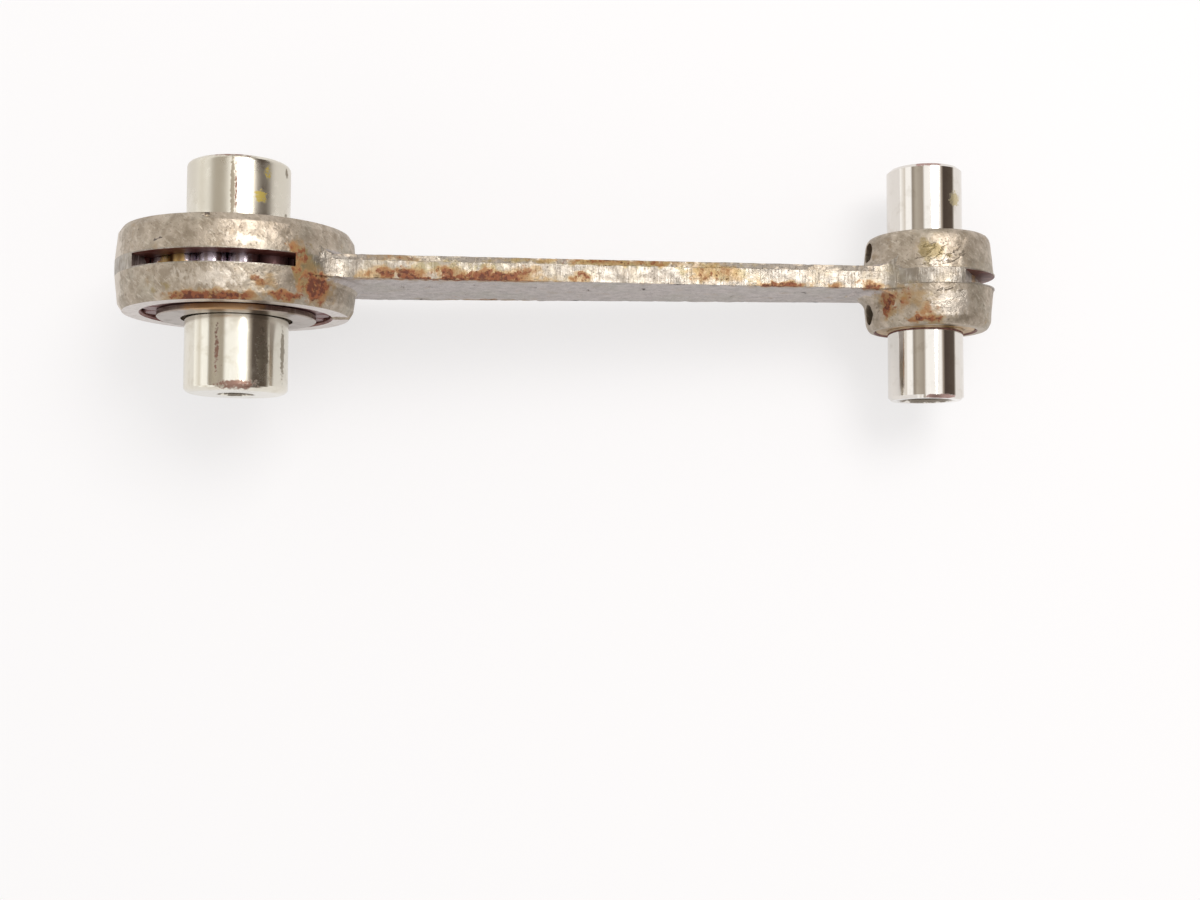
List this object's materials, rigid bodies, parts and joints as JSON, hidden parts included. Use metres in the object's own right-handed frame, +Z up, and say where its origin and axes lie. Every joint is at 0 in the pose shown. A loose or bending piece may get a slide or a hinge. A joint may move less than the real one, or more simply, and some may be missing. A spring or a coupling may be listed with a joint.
{
  "type": "connecting rod",
  "caption": "Forged two-stroke connecting rod on its crank pin, with a cageless roller big end, loose thrust washers, a bushed little end and its gudgeon pin.",
  "frame": {"origin": "on the surface the part rests on, under the middle of its box", "axes": "+X from the big end to the little end, +Y along both pins towards the rear washer, +Z up; the rod rests edgeways on both eyes"},
  "size_m": [0.1392, 0.0374, 0.037],
  "materials": {
    "forged_steel": "forged steel skin with light rust",
    "bush_bronze": "machined bronze bush, dull",
    "ground_steel": "ground and hardened steel, lightly stained",
    "polished_steel": "polished hardened steel",
    "washer_steel": "hardened steel washer, oiled and stained",
    "roller_steel": "ground bearing steel under old oil"
  },
  "bodies": {
    "rod": {"connecting_rod": "forged_steel", "small_end_bush": "bush_bronze"},
    "crank_pin": {"crank_pin": "ground_steel"},
    "roller_set": {"roller_01": "roller_steel", "roller_02": "roller_steel", "roller_03": "roller_steel", "roller_04": "roller_steel", "roller_05": "roller_steel", "roller_06": "roller_steel", "roller_07": "roller_steel", "roller_08": "roller_steel", "roller_09": "roller_steel", "roller_10": "roller_steel", "roller_11": "roller_steel", "roller_12": "roller_steel", "roller_13": "roller_steel", "roller_14": "roller_steel", "roller_15": "roller_steel", "roller_16": "roller_steel", "roller_17": "roller_steel"},
    "front_washer": {"front_thrust_washer": "washer_steel"},
    "rear_washer": {"rear_thrust_washer": "washer_steel"},
    "gudgeon_pin": {"gudgeon_pin": "polished_steel"}
  },
  "joints": [
    {"name": "crank_pin_spin", "type": "hinge", "parent": "rod", "child": "crank_pin", "pos_m": [-0.05111, 0, 0.0185], "axis": [0, 1, 0], "continuous": true},
    {"name": "roller_orbit", "type": "hinge", "parent": "rod", "child": "roller_set", "pos_m": [-0.05111, 0, 0.0185], "axis": [0, 1, 0], "continuous": true},
    {"name": "front_washer_spin", "type": "hinge", "parent": "crank_pin", "child": "front_washer", "pos_m": [-0.05111, 0, 0.0185], "axis": [0, 1, 0], "continuous": true},
    {"name": "rear_washer_spin", "type": "hinge", "parent": "crank_pin", "child": "rear_washer", "pos_m": [-0.05111, 0, 0.0185], "axis": [0, 1, 0], "continuous": true},
    {"name": "gudgeon_pin_spin", "type": "hinge", "parent": "rod", "child": "gudgeon_pin", "pos_m": [0.05861, 0, 0.01058], "axis": [0, 1, 0], "continuous": true}
  ],
  "couplings": [
    {"joint": "roller_orbit", "follows": "crank_pin_spin", "ratio": 0.4075}
  ]
}
